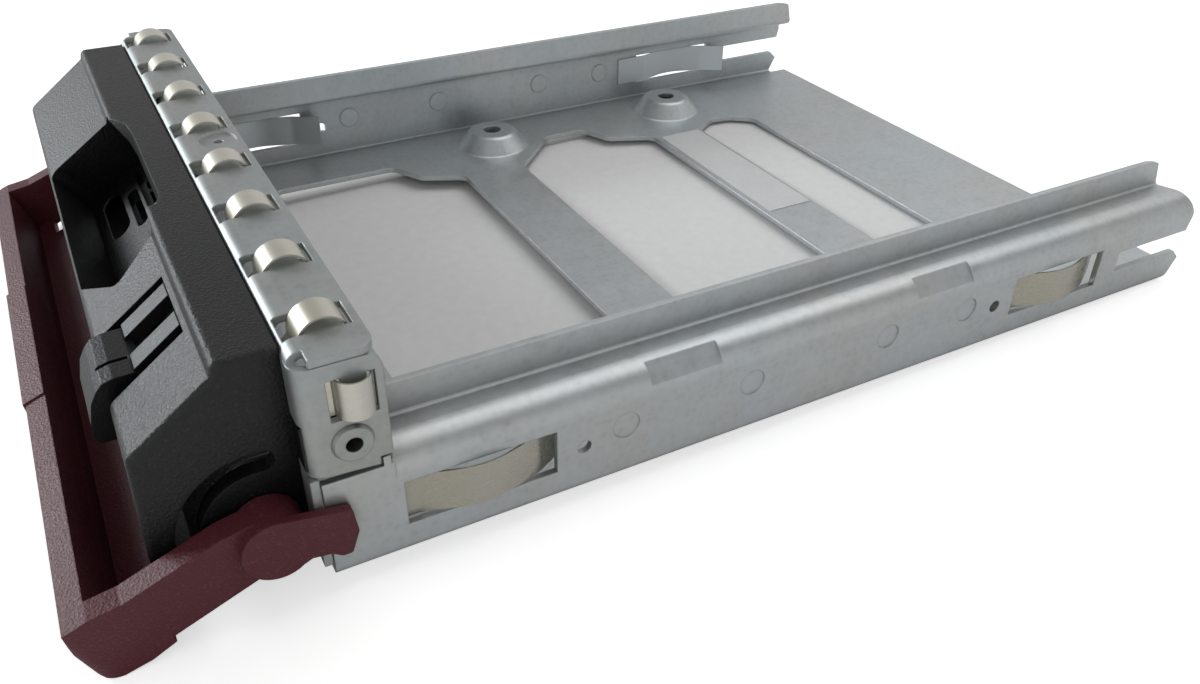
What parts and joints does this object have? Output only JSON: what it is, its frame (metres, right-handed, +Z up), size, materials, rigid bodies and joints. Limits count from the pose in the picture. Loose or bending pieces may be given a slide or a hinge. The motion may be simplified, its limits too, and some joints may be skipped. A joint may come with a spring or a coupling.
{
  "type": "hot swap drive caddy",
  "caption": "Folded sheet tray for a 3.5 inch drive with spring-fingered front shield, hollow moulded bezel, sprung release latch and U-shaped ejector lever.",
  "frame": {"origin": "middle of the width, at the front face of the shield's plate and the underside of the tray's floor", "axes": "+Z up, +Y from the lever to the connector end, +X towards the rail on the picture's near side"},
  "size_m": [0.1214, 0.1835, 0.036],
  "materials": {
    "zinc_sheet": "satin",
    "zinc_rivet": "satin",
    "spring_steel": "polished",
    "spring_wire": "satin",
    "label_film": "matte",
    "black_plastic": "grained",
    "maroon_plastic": "grained"
  },
  "bodies": {
    "frame": {"tray": "zinc_sheet", "blank_label": "label_film", "front_shield": "zinc_sheet", "top_spring_strip": "spring_steel", "bezel": "black_plastic", "near_side_spring": "spring_steel", "near_rivet": "zinc_rivet", "near_lever_spring": "spring_wire", "far_side_spring": "spring_steel", "far_rivet": "zinc_rivet", "far_lever_spring": "spring_wire", "near_front_leaf_spring": "spring_steel", "near_rear_leaf_spring": "spring_steel", "far_front_leaf_spring": "spring_steel", "far_rear_leaf_spring": "spring_steel"},
    "lever": {"lever": "maroon_plastic"},
    "latch": {"release_latch": "black_plastic"}
  },
  "joints": [
    {"name": "lever_hinge", "type": "hinge", "parent": "frame", "child": "lever", "pos_m": [0, -0.0049, 0.0085], "axis": [-1, 0, 0], "range_deg": [0, 56], "stiffness_Nm_per_rad": 0.08, "springref_deg": -57.3},
    {"name": "latch_press", "type": "hinge", "parent": "frame", "child": "latch", "pos_m": [0.037, -0.0084, 0.0279], "axis": [1, 0, 0], "range_deg": [0, 4], "stiffness_Nm_per_rad": 0.6}
  ]
}
